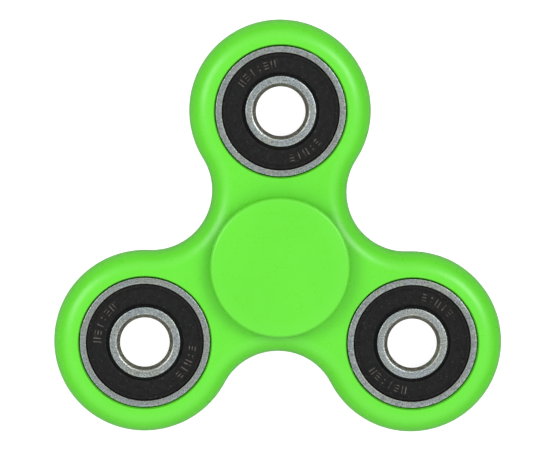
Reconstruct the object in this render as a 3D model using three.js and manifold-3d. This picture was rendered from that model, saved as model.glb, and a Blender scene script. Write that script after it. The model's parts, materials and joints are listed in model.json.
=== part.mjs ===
// Three-lobed finger spinner, in millimetres, +Z up along the spin axis.
// The origin is the centre of the bottom cap's flat face, so the spinner stands on z = 0 with its first lobe
// along +Y.
//
// A moulded frame holds four ball bearings (bore 8, outside 22, width 7). The middle one is open and spins on
// two finger caps whose stubs meet inside its bore. The three in the lobes are sealed and serve as weights.
import * as THREE from "three";
import { mergeVertices } from "three/addons/utils/BufferGeometryUtils.js";
import Module from "manifold-3d";

const wasm = await Module();
wasm.setup();

// ---------------------------------------------------------------- driving dimensions
const LOBES = 3;
const LOBE_DISTANCE = 26.1; // spin axis to a lobe's axis
const LOBE_RADIUS = 15.35;
const WAIST_RADIUS = 10.15; // hollow arc between two lobes
const FRAME_THICKNESS = 7.8;
const FRAME_ROUND = 3.4; // radius of the frame's rounded outer edge
const SEAT_GAP = 0.1; // moulded seat to bearing, all round
const SEAT_CHAMFER = 0.3;

const BEARING_RADIUS = 11;
const BEARING_WIDTH = 7;
const BORE_RADIUS = 4;
const BORE_CHAMFER = 0.55;
const RING_CHAMFER = 0.3;
const INNER_LAND_RADIUS = 6; // outside of the inner ring's shoulders
const OUTER_LAND_RADIUS = 9; // inside of the outer ring's shoulders
const SEAL_SEAT_RADIUS = 9.9;
const SEAL_SEAT_DEPTH = 1; // from the bearing's face
const BALLS = 7;
const BALL_RADIUS = 3.969 / 2;
const PITCH_RADIUS = 7.5; // bearing axis to a ball's centre
const GROOVE_RADIUS = 2.1; // raceway section

const SEAL_INNER_RADIUS = 6.25;
const SEAL_OUTER_RADIUS = 9.75;
const SEAL_RECESS = 0.25; // below the bearing's face
const SEAL_BEVEL_WIDTH = 0.5;
const SEAL_BEVEL_DROP = 0.15;

const CAGE_INNER_RADIUS = 6.6;
const CAGE_OUTER_RADIUS = 8.4;
const CAGE_BELOW = 2.4; // from the balls' plane to the crown's closed side
const CAGE_ABOVE = 0.8; // from the balls' plane to the crown's fingertips
const POCKET_RADIUS = 2.1;

const CAP_RADIUS = 11.85;
const CAP_DISC = 2; // thickness of the finger pad
const CAP_EDGE = 0.55; // rounding of the finger pad's rims
const BOSS_RADIUS = 5.4; // spacer between the pad and the inner ring
const STUB_RADIUS = 3.95;
const PIN_RADIUS = 2.5;
const PIN_LENGTH = 3;
const PIN_CHAMFER = 0.4;
const SOCKET_GAP = 0.08;
const SLIP = 0.05; // from the mid-plane to a stub's end

const HALF_HEIGHT = 7; // cap face to mid-plane

// ---------------------------------------------------------------- facets
const LOBE_FACETS = 18; // along a lobe's arc
const WAIST_FACETS = 8; // along a waist's arc
const ROUND_FACETS = 3; // over the frame's rounded edge
const SEAT_FACETS = 32;
const RING_FACETS = 24;
const RACEWAY_FACETS = 4; // across the groove
const CAGE_FACETS = 28;
const POCKET_FACETS = 12;
const CAP_FACETS = 32;
const BALL_DETAIL = 1; // subdivisions of an icosahedron
const WELD_DISTANCE = 1e-4;

// ---------------------------------------------------------------- materials
const plastic = new THREE.MeshStandardMaterial({ color: 0x6ce83c, roughness: 0.32, metalness: 0 });
const steel = new THREE.MeshStandardMaterial({ color: 0xa2a6aa, roughness: 0.42, metalness: 1 });
const ballSteel = new THREE.MeshStandardMaterial({ color: 0xd8dadc, roughness: 0.08, metalness: 1 });
const rubber = new THREE.MeshStandardMaterial({ color: 0x222123, roughness: 0.75, metalness: 0 });
const nylon = new THREE.MeshStandardMaterial({ color: 0x2b2a28, roughness: 0.6, metalness: 0 });

// ---------------------------------------------------------------- shape helpers
// A solid of revolution about Z. The profile is [radius, z] points, clockwise as seen with z up. It starts
// and ends on the axis, or closes on itself.
function turned(profile, facets) {
  const onAxis = profile[0][0] === 0;
  const points = (onAxis ? profile : [...profile, profile[0]])
    .map(([r, z]) => new THREE.Vector2(r, z))
    .reverse();
  return new THREE.LatheGeometry(points, facets).rotateX(Math.PI / 2);
}

// The profile turned over about z = 0, still clockwise.
function mirrored(profile) {
  return profile.map(([r, z]) => [r, -z]).reverse();
}

function solidOf(geometry) {
  const bare = geometry.index ? geometry.toNonIndexed() : geometry.clone();
  bare.deleteAttribute("normal");
  bare.deleteAttribute("uv");
  const merged = mergeVertices(bare, WELD_DISTANCE);
  return new wasm.Manifold(
    new wasm.Mesh({
      numProp: 3,
      vertProperties: merged.attributes.position.array,
      triVerts: new Uint32Array(merged.index.array),
    }),
  );
}

function geometryOf(solid) {
  const mesh = solid.getMesh();
  return new THREE.BufferGeometry()
    .setAttribute("position", new THREE.BufferAttribute(mesh.vertProperties, 3))
    .setIndex(new THREE.BufferAttribute(mesh.triVerts, 1));
}

function named(name, geometry, material) {
  const mesh = new THREE.Mesh(geometry, material);
  mesh.name = name;
  return mesh;
}

function polar(radius, angle) {
  return new THREE.Vector2(radius * Math.cos(angle), radius * Math.sin(angle));
}

// Points along an arc, without its last one. A negative sweep runs clockwise.
function arcPoints(centre, radius, start, sweep, steps) {
  return Array.from({ length: steps }, (_, i) =>
    polar(radius, start + (sweep * i) / steps).add(centre),
  );
}

function lobeAngle(i) {
  return Math.PI / 2 + (i * 2 * Math.PI) / LOBES;
}

// ---------------------------------------------------------------- frame
// The outline is three lobe arcs joined by three hollow waist arcs, tangent to each other.
function frameOutline() {
  const halfPitch = Math.PI / LOBES;
  const reach = LOBE_RADIUS + WAIST_RADIUS;
  const along = LOBE_DISTANCE * Math.cos(halfPitch);
  const waistDistance = along + Math.sqrt(along ** 2 - LOBE_DISTANCE ** 2 + reach ** 2);
  const toWaist = polar(waistDistance, halfPitch).sub(polar(LOBE_DISTANCE, 0));
  const lobeHalf = toWaist.angle(); // half of a lobe arc's sweep
  const waistHalf = lobeHalf - halfPitch;
  const points = [];
  for (let i = 0; i < LOBES; i++) {
    const angle = lobeAngle(i);
    const waistAngle = angle + halfPitch;
    const lobe = polar(LOBE_DISTANCE, angle);
    const waist = polar(waistDistance, waistAngle);
    const waistStart = waistAngle + Math.PI + waistHalf;
    points.push(
      ...arcPoints(lobe, LOBE_RADIUS, angle - lobeHalf, 2 * lobeHalf, LOBE_FACETS),
      ...arcPoints(waist, WAIST_RADIUS, waistStart, -2 * waistHalf, WAIST_FACETS),
    );
  }
  return new THREE.Shape(points);
}

function frame() {
  const slab = new THREE.ExtrudeGeometry(frameOutline(), {
    depth: FRAME_THICKNESS - 2 * FRAME_ROUND,
    bevelThickness: FRAME_ROUND,
    bevelSize: FRAME_ROUND,
    bevelOffset: -FRAME_ROUND,
    bevelSegments: ROUND_FACETS,
  }).translate(0, 0, FRAME_ROUND - FRAME_THICKNESS / 2);
  const half = FRAME_THICKNESS / 2;
  const wall = BEARING_RADIUS + SEAT_GAP;
  const past = 1; // the cutter runs this far past both faces
  const cutter = turned(
    [
      [0, half + past],
      [wall + SEAT_CHAMFER + past, half + past],
      [wall, half - SEAT_CHAMFER],
      [wall, SEAT_CHAMFER - half],
      [wall + SEAT_CHAMFER + past, -half - past],
      [0, -half - past],
    ],
    SEAT_FACETS,
  );
  const seats = [new THREE.Vector2(0, 0)];
  for (let i = 0; i < LOBES; i++) seats.push(polar(LOBE_DISTANCE, lobeAngle(i)));
  let solid = solidOf(slab);
  for (const seat of seats) {
    solid = solid.subtract(solidOf(cutter.clone().translate(seat.x, seat.y, 0)));
  }
  return geometryOf(solid);
}

// ---------------------------------------------------------------- ball bearing
const FACE = BEARING_WIDTH / 2;

// Raceway points in profile order, for the ring outside the balls (side 1) or inside them (side -1).
function raceway(shoulderRadius, side) {
  const edge = Math.acos((side * (shoulderRadius - PITCH_RADIUS)) / GROOVE_RADIUS);
  return Array.from({ length: RACEWAY_FACETS + 1 }, (_, i) => {
    const angle = edge - (2 * edge * i) / RACEWAY_FACETS;
    return [
      PITCH_RADIUS + side * GROOVE_RADIUS * Math.cos(angle),
      -side * GROOVE_RADIUS * Math.sin(angle),
    ];
  });
}

function outerRing() {
  const upper = [
    [OUTER_LAND_RADIUS, FACE - SEAL_SEAT_DEPTH],
    [SEAL_SEAT_RADIUS, FACE - SEAL_SEAT_DEPTH],
    [SEAL_SEAT_RADIUS, FACE],
    [BEARING_RADIUS - RING_CHAMFER, FACE],
    [BEARING_RADIUS, FACE - RING_CHAMFER],
  ];
  return turned([...raceway(OUTER_LAND_RADIUS, 1), ...upper, ...mirrored(upper)], RING_FACETS);
}

function innerRing() {
  const upper = [
    [BORE_RADIUS, FACE - BORE_CHAMFER],
    [BORE_RADIUS + BORE_CHAMFER, FACE],
    [INNER_LAND_RADIUS - RING_CHAMFER, FACE],
    [INNER_LAND_RADIUS, FACE - RING_CHAMFER],
  ];
  return turned([...upper, ...raceway(INNER_LAND_RADIUS, -1), ...mirrored(upper)], RING_FACETS);
}

function ball() {
  return new THREE.IcosahedronGeometry(BALL_RADIUS, BALL_DETAIL);
}

function ballAngle(i) {
  return (i * 2 * Math.PI) / BALLS;
}

// Crown cage: a ring with its back below the balls and a snap-in pocket, bored from outside, over each ball.
function cage() {
  let solid = solidOf(
    turned(
      [
        [CAGE_INNER_RADIUS, CAGE_ABOVE],
        [CAGE_OUTER_RADIUS, CAGE_ABOVE],
        [CAGE_OUTER_RADIUS, -CAGE_BELOW],
        [CAGE_INNER_RADIUS, -CAGE_BELOW],
      ],
      CAGE_FACETS,
    ),
  );
  const length = 2 * (CAGE_OUTER_RADIUS - CAGE_INNER_RADIUS);
  for (let i = 0; i < BALLS; i++) {
    const pocket = new THREE.CylinderGeometry(POCKET_RADIUS, POCKET_RADIUS, length, POCKET_FACETS);
    pocket.translate(0, PITCH_RADIUS, 0).rotateZ(ballAngle(i) - Math.PI / 2);
    solid = solid.subtract(solidOf(pocket));
  }
  return geometryOf(solid);
}

// Rubber seal of the upper face: a washer that lies in the outer ring's seat, bevelled down to its inner lip.
function seal() {
  const top = FACE - SEAL_RECESS;
  const bottom = FACE - SEAL_SEAT_DEPTH;
  return turned(
    [
      [SEAL_INNER_RADIUS, top - SEAL_BEVEL_DROP],
      [SEAL_INNER_RADIUS + SEAL_BEVEL_WIDTH, top],
      [SEAL_OUTER_RADIUS, top],
      [SEAL_OUTER_RADIUS, bottom],
      [SEAL_INNER_RADIUS, bottom],
    ],
    RING_FACETS,
  );
}

function bearing(prefix, sealed) {
  const group = new THREE.Group();
  group.add(
    named(`${prefix}_outer_ring`, outerRing(), steel),
    named(`${prefix}_inner_ring`, innerRing(), steel),
    named(`${prefix}_cage`, cage(), nylon),
  );
  for (let i = 0; i < BALLS; i++) {
    const mesh = named(`${prefix}_ball_${i + 1}`, ball(), ballSteel);
    const place = polar(PITCH_RADIUS, ballAngle(i));
    mesh.position.set(place.x, place.y, 0);
    group.add(mesh);
  }
  if (sealed) {
    const lower = named(`${prefix}_lower_seal`, seal(), rubber);
    lower.rotation.x = Math.PI;
    group.add(named(`${prefix}_upper_seal`, seal(), rubber), lower);
  }
  return group;
}

// ---------------------------------------------------------------- finger caps
// The pad, its spacer boss and its stub, as a profile below a pad face at z = HALF_HEIGHT.
function capProfile() {
  const under = HALF_HEIGHT - CAP_DISC;
  const rim = CAP_EDGE * (1 - Math.SQRT1_2);
  return [
    [0, HALF_HEIGHT],
    [CAP_RADIUS - CAP_EDGE, HALF_HEIGHT],
    [CAP_RADIUS - rim, HALF_HEIGHT - rim],
    [CAP_RADIUS, HALF_HEIGHT - CAP_EDGE],
    [CAP_RADIUS, under + CAP_EDGE],
    [CAP_RADIUS - CAP_EDGE, under],
    [BOSS_RADIUS, under],
    [BOSS_RADIUS, FACE],
    [STUB_RADIUS, FACE],
    [STUB_RADIUS, SLIP],
  ];
}

function topCap() {
  return turned(
    [
      ...capProfile(),
      [PIN_RADIUS, SLIP],
      [PIN_RADIUS, PIN_CHAMFER - PIN_LENGTH],
      [PIN_RADIUS - PIN_CHAMFER, -PIN_LENGTH],
      [0, -PIN_LENGTH],
    ],
    CAP_FACETS,
  );
}

// Modelled pad up like the top cap, then turned over.
function bottomCap() {
  const socket = PIN_RADIUS + SOCKET_GAP;
  const floor = PIN_LENGTH + 2 * SLIP;
  return turned([...capProfile(), [socket, SLIP], [socket, floor], [0, floor]], CAP_FACETS);
}

// ---------------------------------------------------------------- assembly
const spinner = new THREE.Group();
spinner.position.z = HALF_HEIGHT;

spinner.add(named("frame", frame(), plastic));
spinner.add(named("top_cap", topCap(), plastic));

const lowerCap = named("bottom_cap", bottomCap(), plastic);
lowerCap.rotation.x = Math.PI;
spinner.add(lowerCap);

spinner.add(bearing("center", false));
for (let i = 0; i < LOBES; i++) {
  const weight = bearing(`lobe_${i + 1}`, true);
  const place = polar(LOBE_DISTANCE, lobeAngle(i));
  weight.position.set(place.x, place.y, 0);
  spinner.add(weight);
}

export default spinner;
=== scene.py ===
# The looks of a finger spinner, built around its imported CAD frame.
# Shapes are in millimetres until they become meshes, which are in metres.
import json
from math import acos, atan2, cos, pi, radians, sin, sqrt, tan, tau

import bmesh
import bpy
from mathutils import Matrix, Vector

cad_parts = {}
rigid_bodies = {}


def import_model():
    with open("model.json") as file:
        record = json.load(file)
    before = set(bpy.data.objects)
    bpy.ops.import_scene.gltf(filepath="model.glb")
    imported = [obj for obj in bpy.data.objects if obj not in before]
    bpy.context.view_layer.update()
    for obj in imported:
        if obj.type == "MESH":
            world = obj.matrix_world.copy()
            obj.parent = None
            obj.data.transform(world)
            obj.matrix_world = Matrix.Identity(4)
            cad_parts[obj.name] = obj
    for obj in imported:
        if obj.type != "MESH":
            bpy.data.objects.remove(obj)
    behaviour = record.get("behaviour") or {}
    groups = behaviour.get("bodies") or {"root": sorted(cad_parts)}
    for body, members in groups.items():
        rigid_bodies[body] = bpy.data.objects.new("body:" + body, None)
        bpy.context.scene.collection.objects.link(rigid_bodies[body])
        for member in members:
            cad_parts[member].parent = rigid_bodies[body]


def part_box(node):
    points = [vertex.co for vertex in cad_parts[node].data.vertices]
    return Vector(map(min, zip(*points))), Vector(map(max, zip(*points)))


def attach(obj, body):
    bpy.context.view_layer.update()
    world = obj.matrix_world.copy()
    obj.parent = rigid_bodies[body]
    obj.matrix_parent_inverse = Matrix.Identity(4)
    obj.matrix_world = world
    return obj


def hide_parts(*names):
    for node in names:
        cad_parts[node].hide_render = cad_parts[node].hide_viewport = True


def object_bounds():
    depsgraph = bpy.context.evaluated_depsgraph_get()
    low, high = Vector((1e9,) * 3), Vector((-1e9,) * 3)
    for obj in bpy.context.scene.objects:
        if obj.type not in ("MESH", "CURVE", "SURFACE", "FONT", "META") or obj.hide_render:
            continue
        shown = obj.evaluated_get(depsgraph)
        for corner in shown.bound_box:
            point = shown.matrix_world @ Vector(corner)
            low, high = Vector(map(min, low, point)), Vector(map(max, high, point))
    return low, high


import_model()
cad_low, cad_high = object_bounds()

MM = 0.001
LOBES = 3
BALLS = 7


def middle(node):
    """Centre of a CAD node's box, in metres."""
    low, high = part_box(node)
    return (low + high) / 2


def across(node):
    """A CAD node's width along X, in millimetres."""
    low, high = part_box(node)
    return (high.x - low.x) / MM


# ---------------------------------------------------------------- sizes, in millimetres
HUB = middle("center_outer_ring")  # middle of the whole spinner, in metres
LOBE_DISTANCE = (middle("lobe_1_outer_ring") - HUB).length / MM
LOBE_RADIUS = (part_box("frame")[1].y - middle("lobe_1_outer_ring").y) / MM
WAIST_RADIUS = 10.15
FRAME_HALF = (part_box("frame")[1].z - HUB.z) / MM
FRAME_ROUND = 3.4
BEARING_RADIUS = across("center_outer_ring") / 2
FACE = (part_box("center_outer_ring")[1].z - HUB.z) / MM
INNER_LAND = across("center_inner_ring") / 2
OUTER_LAND = 9
BORE_RADIUS = 4.17
SEAL_SEAT = 9.9
SEAL_LEDGE = FACE - 1
PITCH_RADIUS = 7.5
BALL_RADIUS = 1.984
GROOVE_RADIUS = 2.08
CAP_RADIUS = across("top_cap") / 2
CAP_FACE = (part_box("top_cap")[1].z - HUB.z) / MM
CAP_UNDERSIDE = CAP_FACE - 2
STUB_END = 0.05
PIN_RADIUS = 2.5
PIN_TIP = -3
TURNED_SEGMENTS = 144


# ---------------------------------------------------------------- mesh helpers
def polar(radius, angle):
    return Vector((radius * cos(angle), radius * sin(angle)))


def arc(centre, start, end, steps):
    """Points on the short arc about centre from start to end, both included."""
    first = atan2(start[1] - centre[1], start[0] - centre[0])
    sweep = (atan2(end[1] - centre[1], end[0] - centre[0]) - first + pi) % tau - pi
    radius = (Vector(start) - Vector(centre)).length
    angles = [first + sweep * i / steps for i in range(steps + 1)]
    return [(centre[0] + radius * cos(a), centre[1] + radius * sin(a)) for a in angles]


def rounded(corners, steps=6):
    """A closed profile through (radius, z, fillet) corners, each rounded by its own fillet."""
    points = []
    for i, (radius, z, fillet) in enumerate(corners):
        here = Vector((radius, z))
        if not fillet:
            points.append((radius, z))
            continue
        before = (Vector(corners[i - 1][:2]) - here).normalized()
        after = (Vector(corners[(i + 1) % len(corners)][:2]) - here).normalized()
        half = before.angle(after) / 2
        centre = here + (before + after).normalized() * fillet / sin(half)
        reach = fillet / tan(half)
        points += arc(centre, here + before * reach, here + after * reach, steps)
    return points


def upside_down(corners):
    """Corners mirrored about z = 0, in the order that carries a profile on."""
    return [(radius, -z, *rest) for radius, z, *rest in reversed(corners)]


def finish_mesh(bm, name):
    """A mesh in metres from a bmesh in millimetres, facing out and smooth but for its sharp edges."""
    bmesh.ops.recalc_face_normals(bm, faces=bm.faces)
    bm.transform(Matrix.Scale(MM, 4))
    mesh = bpy.data.meshes.new(name)
    bm.to_mesh(mesh)
    bm.free()
    return smoothed(mesh)


def smoothed(mesh):
    """The mesh, shaded smooth except at edges sharper than 40 degrees."""
    mesh.shade_smooth()
    mesh.set_sharp_from_angle(angle=radians(40))
    return mesh


def bridge(bm, loops):
    """Quads between neighbouring closed loops of vertices."""
    for lower, upper in zip(loops, loops[1:]):
        for i in range(len(lower)):
            j = (i + 1) % len(lower)
            corners = dict.fromkeys([lower[i], lower[j], upper[j], upper[i]])
            if len(corners) > 2:
                bm.faces.new(corners)


def revolve(bm, profile, segments=TURNED_SEGMENTS):
    """Adds a solid of revolution about Z. A point on the axis becomes one vertex."""
    loops = []
    for radius, z in profile:
        if radius == 0:
            loops.append([bm.verts.new((0, 0, z))] * segments)
            continue
        angles = [tau * i / segments for i in range(segments)]
        loops.append([bm.verts.new((radius * cos(a), radius * sin(a), z)) for a in angles])
    on_axis = profile[0][0] == 0
    bridge(bm, loops if on_axis else [*loops, loops[0]])


def turned_mesh(name, profile):
    """A mesh turned about Z from a profile in millimetres."""
    bm = bmesh.new()
    revolve(bm, profile)
    return finish_mesh(bm, name)


def radius_and_height(face):
    """How far a face is from the axis and from the middle plane, in millimetres."""
    return face.center.xy.length / MM, abs(face.center.z) / MM


def linked(obj):
    """The object, linked into the scene."""
    bpy.context.scene.collection.objects.link(obj)
    return obj


def piece(node, mesh, material, body, place, turn=None):
    """Shows mesh in place of a CAD node. place is where its origin goes, in metres."""
    if not mesh.materials:
        mesh.materials.append(material)
    obj = linked(bpy.data.objects.new(f"{node}_look", mesh))
    obj.matrix_world = Matrix.Translation(place) @ (turn or Matrix())
    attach(obj, body)
    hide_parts(node)


# ---------------------------------------------------------------- material helpers
def node(tree, kind, inputs=None, **properties):
    """A new shader node. inputs, by name or number, take a value or another node's output."""
    made = tree.nodes.new("ShaderNode" + kind)
    for name, value in properties.items():
        setattr(made, name, value)
    for key, value in (inputs or {}).items():
        if isinstance(value, bpy.types.NodeSocket):
            tree.links.new(value, made.inputs[key])
        else:
            made.inputs[key].default_value = value
    return made


def new_material(name, **shader_values):
    """A material, its tree and its shader, with the shader's own sockets set by name."""
    material = bpy.data.materials.new(name)
    material.use_nodes = True
    shader = material.node_tree.nodes["Principled BSDF"]
    for key, value in shader_values.items():
        shader.inputs[key.replace("_", " ")].default_value = value
    return material, material.node_tree, shader


def vary(tree, shader, colour, roughness=None):
    """Links a colour and, where it varies too, a roughness to the shader."""
    tree.links.new(colour, shader.inputs["Base Color"])
    if roughness is not None:
        tree.links.new(roughness, shader.inputs["Roughness"])


def vector_math(tree, operation, inputs):
    return node(tree, "VectorMath", inputs, operation=operation)


def millimetres(tree):
    """The piece's own coordinates in millimetres, moved by a different step for each piece."""
    place = node(tree, "TexCoord").outputs["Object"]
    scaled = vector_math(tree, "MULTIPLY", {0: place, 1: (1 / MM, 1 / MM, 1 / MM)}).outputs[0]
    own = node(tree, "ObjectInfo").outputs["Random"]
    step = vector_math(tree, "SCALE", {0: (61.0, 37.0, 83.0), "Scale": own}).outputs[0]
    return vector_math(tree, "ADD", {0: scaled, 1: step}).outputs[0]


def noise(tree, where, scale, detail, roughness=0.5):
    """Noise with scale features to the millimetre."""
    inputs = {"Vector": where, "Scale": scale, "Detail": detail, "Roughness": roughness}
    return node(tree, "TexNoise", inputs).outputs["Fac"]


def spread(tree, value, low, high, start=0.3, end=0.7):
    """value, which runs from about start to end, mapped to low to high."""
    inputs = {"Value": value, "From Min": start, "From Max": end, "To Min": low, "To Max": high}
    return node(tree, "MapRange", inputs).outputs[0]


def blend_colours(tree, factor, first, second):
    """A mix of two colours, each given as (r, g, b) or as another node's output."""
    inputs = {0: factor}
    for socket, colour in ((6, first), (7, second)):
        inputs[socket] = (*colour, 1) if isinstance(colour, tuple) else colour
    return node(tree, "Mix", inputs, data_type="RGBA").outputs[2]


def bump(tree, shader, height, depth_mm, under=None):
    """Bumps depth_mm deep on the shader, on top of the normal under."""
    inputs = {"Height": height, "Distance": depth_mm * MM, "Strength": 1.0}
    if under is not None:
        inputs["Normal"] = under
    made = node(tree, "Bump", inputs).outputs[0]
    tree.links.new(made, shader.inputs["Normal"])
    return made


# ---------------------------------------------------------------- materials
def moulded_plastic():
    """Lime green ABS: glossy but not mirror-like, with the faint ripple of a moulded surface."""
    material, tree, shader = new_material("lime_plastic", IOR=1.48)
    where = millimetres(tree)
    tone = spread(tree, noise(tree, where, scale=0.09, detail=2), 0, 1)
    colour = blend_colours(tree, tone, (0.117, 0.675, 0.028), (0.123, 0.699, 0.031))
    gloss = spread(tree, noise(tree, where, scale=0.6, detail=4), 0.26, 0.32)
    vary(tree, shader, colour, gloss)
    ripple = bump(tree, shader, noise(tree, where, scale=0.25, detail=2), depth_mm=0.004)
    bump(tree, shader, noise(tree, where, scale=6, detail=3), depth_mm=0.0002, under=ripple)
    return material


def ground_steel():
    """Bearing ring steel: the grain of a ground face, cool and warm patches and turned lines."""
    material, tree, shader = new_material("ground_steel", Metallic=1.0)
    where = millimetres(tree)
    grain = noise(tree, where, scale=4.3, detail=4, roughness=0.7)
    tone = spread(tree, grain, 0, 1, start=0.38, end=0.62)
    cool = blend_colours(tree, tone, (0.140, 0.166, 0.180), (0.490, 0.548, 0.568))
    warm = blend_colours(tree, tone, (0.150, 0.166, 0.152), (0.505, 0.538, 0.498))
    patches = spread(tree, noise(tree, where, scale=0.35, detail=3), 0, 1)
    vary(tree, shader, blend_colours(tree, patches, cool, warm), spread(tree, grain, 0.40, 0.26))
    own = node(tree, "TexCoord").outputs["Object"]
    from_axis = vector_math(tree, "MULTIPLY", {0: own, 1: (1 / MM, 1 / MM, 0)}).outputs[0]
    radius = vector_math(tree, "LENGTH", {0: from_axis}).outputs["Value"]
    rings = {"W": radius, "Scale": 14.0, "Detail": 2.0}
    lines = node(tree, "TexNoise", rings, noise_dimensions="1D").outputs["Fac"]
    turned = bump(tree, shader, lines, depth_mm=0.0012)
    bump(tree, shader, grain, depth_mm=0.008, under=turned)
    return material


def unground_steel():
    """The dark, slightly brown skin that heat treatment leaves where a ring isn't ground."""
    material, tree, shader = new_material("unground_steel", Metallic=1.0)
    scale = noise(tree, millimetres(tree), scale=2.4, detail=4, roughness=0.6)
    tone = spread(tree, scale, 0, 1)
    colour = blend_colours(tree, tone, (0.135, 0.132, 0.104), (0.300, 0.294, 0.250))
    vary(tree, shader, colour, spread(tree, scale, 0.36, 0.50))
    bump(tree, shader, scale, depth_mm=0.008)
    return material


def honed_steel():
    """The bright, nearly mirror-like wall of a honed bore."""
    material, tree, shader = new_material("honed_steel", Metallic=1.0)
    stroke = noise(tree, millimetres(tree), scale=4, detail=3)
    colour = blend_colours(tree, stroke, (0.84, 0.85, 0.86), (0.90, 0.90, 0.90))
    vary(tree, shader, colour, spread(tree, stroke, 0.12, 0.20))
    return material


def polished_steel():
    """Lapped ball steel, bright, with the lightest haze."""
    material, tree, shader = new_material("polished_steel", Metallic=1.0)
    haze = noise(tree, millimetres(tree), scale=2, detail=4)
    colour = blend_colours(tree, haze, (0.66, 0.67, 0.69), (0.76, 0.77, 0.78))
    vary(tree, shader, colour, spread(tree, haze, 0.06, 0.14))
    return material


def seal_rubber():
    """Matte black nitrile rubber with a mottled skin and a few specks of dust."""
    material, tree, shader = new_material("seal_rubber", IOR=1.25)
    where = millimetres(tree)
    mottle = noise(tree, where, scale=1.1, detail=6, roughness=0.7)
    tone = spread(tree, mottle, 0, 1)
    black = blend_colours(tree, tone, (0.0024, 0.0025, 0.0025), (0.0094, 0.0097, 0.0096))
    dust = spread(tree, noise(tree, where, scale=3.4, detail=2), 0, 1, start=0.66, end=0.74)
    colour = blend_colours(tree, dust, black, (0.055, 0.055, 0.053))
    vary(tree, shader, colour, spread(tree, mottle, 0.62, 0.48))
    skin = bump(tree, shader, mottle, depth_mm=0.012)
    bump(tree, shader, noise(tree, where, scale=12, detail=3), depth_mm=0.0015, under=skin)
    return material


def rubbed_rubber():
    """The seal's raised marks, rubbed a little paler and browner than the rubber round them."""
    material, tree, shader = new_material("rubbed_rubber", IOR=1.3, Roughness=0.6)
    rub = noise(tree, millimetres(tree), scale=1.1, detail=4, roughness=0.7)
    wear = spread(tree, rub, 0, 1, start=0.36, end=0.62)
    vary(tree, shader, blend_colours(tree, wear, (0.010, 0.009, 0.009), (0.125, 0.106, 0.091)))
    return material


def cage_nylon():
    """Dark glass-filled nylon."""
    material, tree, shader = new_material("cage_nylon", IOR=1.5)
    fleck = noise(tree, millimetres(tree), scale=5, detail=4)
    tone = spread(tree, fleck, 0, 1)
    colour = blend_colours(tree, tone, (0.022, 0.021, 0.019), (0.040, 0.038, 0.034))
    vary(tree, shader, colour, spread(tree, fleck, 0.5, 0.65))
    bump(tree, shader, fleck, depth_mm=0.004)
    return material


PLASTIC = moulded_plastic()
STEEL = ground_steel()
DARK_STEEL = unground_steel()
BORE_STEEL = honed_steel()
BALL_STEEL = polished_steel()
RUBBER = seal_rubber()
MARKS = rubbed_rubber()
NYLON = cage_nylon()


# ---------------------------------------------------------------- moulded frame
def lobe_angle(i):
    return pi / 2 + i * tau / LOBES


def outline(inset):
    """The frame's outline moved inwards: lobe arcs and hollow waist arcs, tangent to each other."""
    half_pitch = pi / LOBES
    along = LOBE_DISTANCE * cos(half_pitch)
    reach = LOBE_RADIUS + WAIST_RADIUS
    waist_distance = along + sqrt(along**2 - LOBE_DISTANCE**2 + reach**2)
    to_waist = polar(waist_distance, half_pitch) - polar(LOBE_DISTANCE, 0)
    lobe_half = atan2(to_waist.y, to_waist.x)
    waist_half = lobe_half - half_pitch
    lobe_steps, waist_steps = 88, 30
    points = []
    for i in range(LOBES):
        lobe = polar(LOBE_DISTANCE, lobe_angle(i))
        for step in range(lobe_steps):
            turn = lobe_half * (2 * step / lobe_steps - 1)
            points.append(lobe + polar(LOBE_RADIUS - inset, lobe_angle(i) + turn))
        waist_angle = lobe_angle(i) + half_pitch
        waist = polar(waist_distance, waist_angle)
        for step in range(waist_steps):
            turn = waist_half * (1 - 2 * step / waist_steps)
            points.append(waist + polar(WAIST_RADIUS + inset, waist_angle + pi + turn))
    return points


def frame_edge(flat):
    """The (inset, z) profile of the frame's rounded edge, from its upper face to its lower one."""
    seam_width, seam_depth = 0.06, 0.03  # the mould's parting line round the edge
    steps = 12
    straight = FRAME_HALF - FRAME_ROUND
    quarter = [radians(90 * i / steps) for i in range(steps + 1)]
    upper = [(FRAME_ROUND + flat, FRAME_HALF)]
    upper += [(FRAME_ROUND * (1 - sin(a)), straight + FRAME_ROUND * cos(a)) for a in quarter]
    upper += [(0, seam_width)]
    return [*upper, (seam_depth, 0), *upside_down(upper)]


def seat_wall(mouth_width, mouth_depth, flat):
    """The (radius, z) profile of a bearing seat, with slanting mouths and a band that grips the ring."""
    clear, grip = BEARING_RADIUS + 0.13, BEARING_RADIUS + 0.02
    band_half, step = 1.2, 0.3
    upper = [
        (clear + mouth_width + flat, FRAME_HALF, 0),
        (clear + mouth_width, FRAME_HALF, 0.05),
        (clear, FRAME_HALF - mouth_depth, 0.05),
        (clear, band_half + step, 0),
        (grip, band_half, 0),
    ]
    return rounded([*upper, *upside_down(upper)])


def frame_mesh():
    """The moulded frame: its rounded outline and four seats, with flat faces between them."""
    flat = 0.08  # strip that keeps the faces' shading level up to a rounded edge
    bm = bmesh.new()
    outer = [[bm.verts.new((*p, z)) for p in outline(inset)] for inset, z in frame_edge(flat)]
    bridge(bm, outer)
    rims = [(outer[0], outer[-1])]
    angles = [tau * i / TURNED_SEGMENTS for i in range(TURNED_SEGMENTS)]
    places = [Vector((0, 0))] + [polar(LOBE_DISTANCE, lobe_angle(i)) for i in range(LOBES)]
    for place in places:
        mouth = (0.2, 0.7) if place.length else (0.06, 0.1)
        wall = seat_wall(*mouth, flat)
        loops = [[bm.verts.new((*(place + polar(r, a)), z)) for a in angles] for r, z in wall]
        bridge(bm, loops)
        rims.append((loops[0], loops[-1]))
    for side in (0, 1):
        edges = [
            bm.edges.get((loop[side][i - 1], loop[side][i]))
            for loop in rims
            for i in range(len(loop[side]))
        ]
        bmesh.ops.triangle_fill(bm, use_beauty=True, edges=edges)
    return finish_mesh(bm, "frame")


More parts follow.
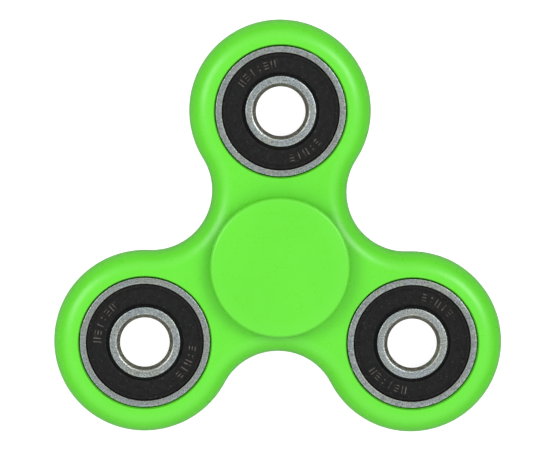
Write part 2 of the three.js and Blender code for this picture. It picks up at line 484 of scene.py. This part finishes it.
# ---------------------------------------------------------------- finger caps
def cap_mesh(name, tail):
    """A finger pad with its spacer boss and stub, pad up. tail carries the profile on to the axis."""
    face_flat = 9.2
    crown = 0.1  # fall of the face from its flat middle to its rim
    boss, stub = 5.4, 3.95
    corners = [
        (face_flat, CAP_FACE, 6),
        (CAP_RADIUS, CAP_FACE - crown, 0.65),
        (CAP_RADIUS, CAP_UNDERSIDE, 0.45),
        (boss, CAP_UNDERSIDE, 0.25),
        (boss, FACE, 0.08),
        (stub, FACE, 0.05),
        (stub, STUB_END, 0.3),
        *tail,
    ]
    return turned_mesh(name, [(0, CAP_FACE), *rounded([(0, CAP_FACE, 0), *corners])[1:]])


def top_cap_mesh():
    """The upper cap, which ends in a pin."""
    pin = [(PIN_RADIUS, STUB_END, 0), (PIN_RADIUS, PIN_TIP, 0.35), (0, PIN_TIP, 0)]
    return cap_mesh("top_cap", pin)


def bottom_cap_mesh():
    """The lower cap, pad up like the other, which has a socket for the pin."""
    radius, depth = PIN_RADIUS + 0.08, 0.1 - PIN_TIP
    socket = [(radius, STUB_END, 0.2), (radius, depth, 0.1), (0, depth, 0)]
    return cap_mesh("bottom_cap", socket)


# ---------------------------------------------------------------- ball bearing
def raceway(shoulder, side):
    """The ball groove from shoulder to shoulder. side is 1 on the outer ring and -1 on the inner."""
    steps = 16
    edge = acos(side * (shoulder - PITCH_RADIUS) / GROOVE_RADIUS)
    angles = [edge - 2 * edge * i / steps for i in range(steps + 1)]
    reach = side * GROOVE_RADIUS
    return [(PITCH_RADIUS + reach * cos(a), -reach * sin(a), 0) for a in angles]


def outer_ring_mesh():
    """The outer ring: ground all over but for the seal's seats, which were left as hardened."""
    upper = [
        (OUTER_LAND, SEAL_LEDGE, 0.08),
        (SEAL_SEAT, SEAL_LEDGE, 0.1),
        (SEAL_SEAT, FACE, 0.15),
        (BEARING_RADIUS, FACE, 0.15),
    ]
    profile = rounded([*raceway(OUTER_LAND, 1), *upper, *upside_down(upper)])
    mesh = turned_mesh("outer_ring", profile)
    mesh.materials.append(STEEL)
    mesh.materials.append(DARK_STEEL)
    seat_rim = SEAL_SEAT + 0.1
    for face in mesh.polygons:
        radius, height = radius_and_height(face)
        face.material_index = int(radius < seat_rim and height > SEAL_LEDGE)
    return mesh


def inner_ring_mesh():
    """The inner ring: ground faces, a honed bore, and dark chamfers that were left as hardened."""
    chamfer = 0.62
    burnished = 0.037  # depth to which the chamfer's edge is polished by the face's grinding
    blend = 0.06  # how far the dark skin runs from the chamfer into the bore
    shoulder = INNER_LAND + 0.06  # stands out under the seal's lip, so no light passes between them
    upper = [
        (BORE_RADIUS, FACE - chamfer, 0.15),
        (BORE_RADIUS + chamfer, FACE, 0.6),
        (INNER_LAND, FACE, 0.19),
        (INNER_LAND, SEAL_LEDGE - 0.06, 0),
        (shoulder, SEAL_LEDGE - 0.1, 0),
    ]
    profile = rounded([*upper, *raceway(shoulder, -1), *upside_down(upper)])
    mesh = turned_mesh("inner_ring", profile)
    for material in (STEEL, DARK_STEEL, BORE_STEEL):
        mesh.materials.append(material)
    for face in mesh.polygons:
        radius, height = radius_and_height(face)
        if radius < BORE_RADIUS + chamfer and height < FACE - burnished:
            face.material_index = 1 if height > FACE - chamfer - blend else 2
    return mesh


def ball_mesh():
    bm = bmesh.new()
    bmesh.ops.create_icosphere(bm, subdivisions=4, radius=BALL_RADIUS)
    return finish_mesh(bm, "ball")


def cage_mesh():
    """Crown cage: a ring with its back below the balls and a round pocket over each."""
    inner, outer, back, tips = 6.6, 8.4, -2.4, 0.8
    pocket_radius = 2.08
    blank = [(inner, tips, 0.1), (outer, tips, 0.1), (outer, back, 0.25), (inner, back, 0.25)]
    ring = linked(bpy.data.objects.new("cage_blank", turned_mesh("cage", rounded(blank))))
    bm = bmesh.new()
    for i in range(BALLS):
        place = Matrix.Translation((*polar(PITCH_RADIUS, i * tau / BALLS), 0))
        bmesh.ops.create_icosphere(bm, subdivisions=4, radius=pocket_radius, matrix=place)
    pockets = linked(bpy.data.objects.new("cage_pockets", finish_mesh(bm, "cage_pockets")))
    cut = ring.modifiers.new("pockets", "BOOLEAN")
    cut.operation = "DIFFERENCE"
    cut.solver = "EXACT"
    cut.object = pockets
    evaluated = ring.evaluated_get(bpy.context.evaluated_depsgraph_get())
    done = smoothed(bpy.data.meshes.new_from_object(evaluated))
    bpy.data.objects.remove(ring)
    bpy.data.objects.remove(pockets)
    return done


# ---------------------------------------------------------------- rubber seal
# A seal's moulded marks are made of strokes: radial offset, sideways offset, radial length, width.
MARKS_BY_NAME = {
    "bar": ((0, 0, 1.3, 0.15),),
    "pair": ((0, -0.3, 1.3, 0.15), (0, 0.3, 1.3, 0.15)),
    "steps": ((-0.5, 0, 0.15, 0.75), (0, 0, 0.15, 0.75), (0.5, 0, 0.15, 0.75)),
    "dots": ((-0.35, 0, 0.24, 0.24), (0.35, 0, 0.24, 0.24)),
}
MARK_ROWS = (
    ("pair", "steps", "dots", "bar", "steps", "pair"),
    ("steps", "bar", "pair", "dots", "steps"),
)
MARK_RADIUS = 8.05
MARK_PITCH = 9  # degrees
SEAL_FACE = FACE - 0.24


def add_stroke(bm, stroke, angle):
    """A low stroke with rounded ends and sloping sides, sunk a little into the seal's face."""
    out, aside, size_out, size_aside = stroke
    length, width = max(size_out, size_aside), min(size_out, size_aside)
    along = 0 if size_out >= size_aside else pi / 2
    height, sunk, slope, steps = 0.05, 0.03, 0.03, 6
    end_points = steps + (length > width)  # a dot's two ends share their first and last points
    loops = []
    for grow, z in ((slope, -sunk), (slope / 3, height * 0.6), (0, height)):
        loop = []
        for end in (1, -1):
            for i in range(end_points):
                around = (end - 1) * pi / 2 + pi * (i / steps - 0.5)
                point = Vector((end * (length - width) / 2, 0)) + polar(width / 2 + grow, around)
                point = Vector((MARK_RADIUS + out, aside)) + Matrix.Rotation(along, 2) @ point
                loop.append(bm.verts.new((*(Matrix.Rotation(angle, 2) @ point), SEAL_FACE + z)))
        loops.append(loop)
    bridge(bm, loops)
    bm.faces.new(loops[0])
    bm.faces.new(loops[-1])


def seal_profile():
    """The washer's profile: a lip that slopes to the ring, the marked face, a groove and a rim."""
    rim, lip, step = 9.8, INNER_LAND + 0.03, 6.42
    groove_in, groove_out, groove_depth, groove_slope = 9.05, 9.3, 0.07, 0.06
    corners = [
        (lip, SEAL_FACE - 0.62, 0.05),
        (step, SEAL_FACE - 0.55, 0.1),
        (step + 0.06, SEAL_FACE - 0.12, 0.1),
        (step + 0.4, SEAL_FACE, 0.4),
        (groove_in, SEAL_FACE, 0.06),
        (groove_in + groove_slope, SEAL_FACE - groove_depth, 0.04),
        (groove_out - groove_slope, SEAL_FACE - groove_depth, 0.04),
        (groove_out, SEAL_FACE, 0.06),
        (rim, SEAL_FACE, 0.16),
        (rim, SEAL_LEDGE, 0.1),
        (lip, SEAL_LEDGE, 0.05),
    ]
    return rounded(corners)


def seal_mesh():
    """The rubber washer in the upper seat, with its two rows of raised marks."""
    bm = bmesh.new()
    revolve(bm, seal_profile())
    body_faces = len(bm.faces)
    for row, kinds in enumerate(MARK_ROWS):
        for i, kind in enumerate(kinds):
            angle = row * pi + radians(MARK_PITCH * (i - (len(kinds) - 1) / 2))
            for stroke in MARKS_BY_NAME[kind]:
                add_stroke(bm, stroke, angle)
    bm.faces.ensure_lookup_table()
    for face in bm.faces[body_faces:]:
        face.material_index = 1
    mesh = finish_mesh(bm, "seal")
    mesh.materials.append(RUBBER)
    mesh.materials.append(MARKS)
    return mesh


# ---------------------------------------------------------------- assembly
OUTER_RING = outer_ring_mesh()
INNER_RING = inner_ring_mesh()
BALL = ball_mesh()
CAGE = cage_mesh()
SEAL = seal_mesh()
OVER = Matrix.Rotation(pi, 4, "X")
SEAL_TURNS = (122, 155, 238)  # degrees round from +X to the middle of each upper seal's longer row


def bearing(prefix, outer_body, inner_body):
    """Both rings, the cage and the balls of one bearing."""
    place = middle(f"{prefix}_outer_ring")
    piece(f"{prefix}_outer_ring", OUTER_RING, STEEL, outer_body, place)
    piece(f"{prefix}_inner_ring", INNER_RING, STEEL, inner_body, place)
    piece(f"{prefix}_cage", CAGE, NYLON, f"{prefix}_cage", place)
    for i in range(BALLS):
        name = f"{prefix}_ball_{i + 1}"
        piece(name, BALL, BALL_STEEL, name, middle(name))


def seals(prefix, turn):
    """A lobe bearing's upper and lower seals, turned by so many degrees."""
    place = middle(f"{prefix}_outer_ring")
    upright = Matrix.Rotation(radians(turn), 4, "Z")
    piece(f"{prefix}_upper_seal", SEAL, RUBBER, "spinner", place, upright)
    piece(f"{prefix}_lower_seal", SEAL, RUBBER, "spinner", place, OVER @ upright)


piece("frame", frame_mesh(), PLASTIC, "spinner", HUB)
piece("top_cap", top_cap_mesh(), PLASTIC, "hub", HUB)
piece("bottom_cap", bottom_cap_mesh(), PLASTIC, "hub", HUB, OVER)
bearing("center", "spinner", "hub")
for number, seal_turn in enumerate(SEAL_TURNS, start=1):
    lobe = f"lobe_{number}"
    bearing(lobe, "spinner", f"{lobe}_inner_ring")
    seals(lobe, seal_turn)


# ---------------------------------------------------------------- studio
def floor():
    """A pale matt board, glowing like a light table. Only the bored rings catch the glow, so shadows
    stay slight and the spinner's edges keep their shading."""
    size, gap = 3, 0.02 * MM  # half the board's width, and how far it lies below the spinner
    bm = bmesh.new()
    bmesh.ops.create_grid(bm, x_segments=2, y_segments=2, size=size)
    mesh = bpy.data.meshes.new("floor")
    bm.to_mesh(mesh)
    bm.free()
    material, tree, shader = new_material("floor", Roughness=0.9, Specular_IOR_Level=0.1)
    shader.inputs["Base Color"].default_value = (0.35, 0.35, 0.35, 1)
    shader.inputs["Emission Color"].default_value = (1, 1, 1, 1)
    shader.inputs["Emission Strength"].default_value = 0.92
    mesh.materials.append(material)
    obj = linked(bpy.data.objects.new("floor", mesh))
    obj.location.z = cad_low.z - gap
    lit = bpy.data.collections.new("lit_by_floor")
    lit.objects.link(obj)
    for i in range(LOBES):
        lit.objects.link(bpy.data.objects[f"lobe_{i + 1}_inner_ring_look"])
    obj.light_linking.receiver_collection = lit


def softbox(name, azimuth, elevation, distance, size, radiance):
    """A square soft light that faces the spinner. azimuth is degrees round from +X, elevation up."""
    light = bpy.data.lights.new(name, "AREA")
    light.size = size
    light.energy = radiance * pi * size**2
    obj = linked(bpy.data.objects.new(name, light))
    around, up = radians(azimuth), radians(elevation)
    back = Vector((cos(up) * cos(around), cos(up) * sin(around), sin(up)))
    obj.location = HUB + back * distance
    obj.rotation_euler = back.to_track_quat("Z", "Y").to_euler()


def camera():
    """Nearly straight down from 0.6 m, with the first lobe tipped a little towards the lens."""
    distance = 0.6
    roll, pitch, yaw = radians(-0.32), radians(4.55), radians(2.12)
    aim = Vector((-0.63, 6.65, 0)) * MM  # where the lens points, from the spinner's middle
    tilt = Matrix.Rotation(yaw, 4, "Y") @ Matrix.Rotation(pitch, 4, "X") @ Matrix.Rotation(roll, 4, "Z")
    data = bpy.data.cameras.new("camera")
    data.sensor_width = 36
    data.lens = 231.6
    data.clip_start = 0.05
    data.clip_end = 20
    obj = linked(bpy.data.objects.new("camera", data))
    back = Matrix.Translation(aim + Vector((0, 0, distance)))
    obj.matrix_world = Matrix.Translation(HUB) @ tilt.inverted() @ back
    bpy.context.scene.camera = obj


def world():
    """A light tent: bright walls, a dark opening overhead where the camera looks in, and a bounce
    from low in front."""
    bpy.context.scene.world = bpy.data.worlds.new("studio")
    bpy.context.scene.world.use_nodes = True
    tree = bpy.context.scene.world.node_tree
    background = tree.nodes["Background"]
    background.inputs["Color"].default_value = (1, 1, 1, 1)
    towards = node(tree, "TexCoord").outputs["Generated"]
    height = node(tree, "SeparateXYZ", {0: towards}).outputs["Z"]
    walls = spread(tree, height, 0, 1.07, start=0.15, end=0.72)
    opening = spread(tree, height, 1, 0, start=0.97, end=1.0)
    tent = node(tree, "Math", {0: walls, 1: opening}, operation="MULTIPLY").outputs[0]
    bounce_from = (0, -0.96, 0.28)
    facing = vector_math(tree, "DOT_PRODUCT", {0: towards, 1: bounce_from}).outputs["Value"]
    bounce = spread(tree, facing, 0, 0.51, start=0.6, end=1.0)
    both = node(tree, "Math", {0: tent, 1: bounce}, operation="ADD").outputs[0]
    tree.links.new(both, background.inputs["Strength"])


floor()
world()
softbox("right_softbox", azimuth=31, elevation=55, distance=1.6, size=0.65, radiance=5.1)
softbox("left_softbox", azimuth=156, elevation=47, distance=0.5, size=0.24, radiance=3.7)
camera()
bpy.context.scene.view_settings.view_transform = "Standard"
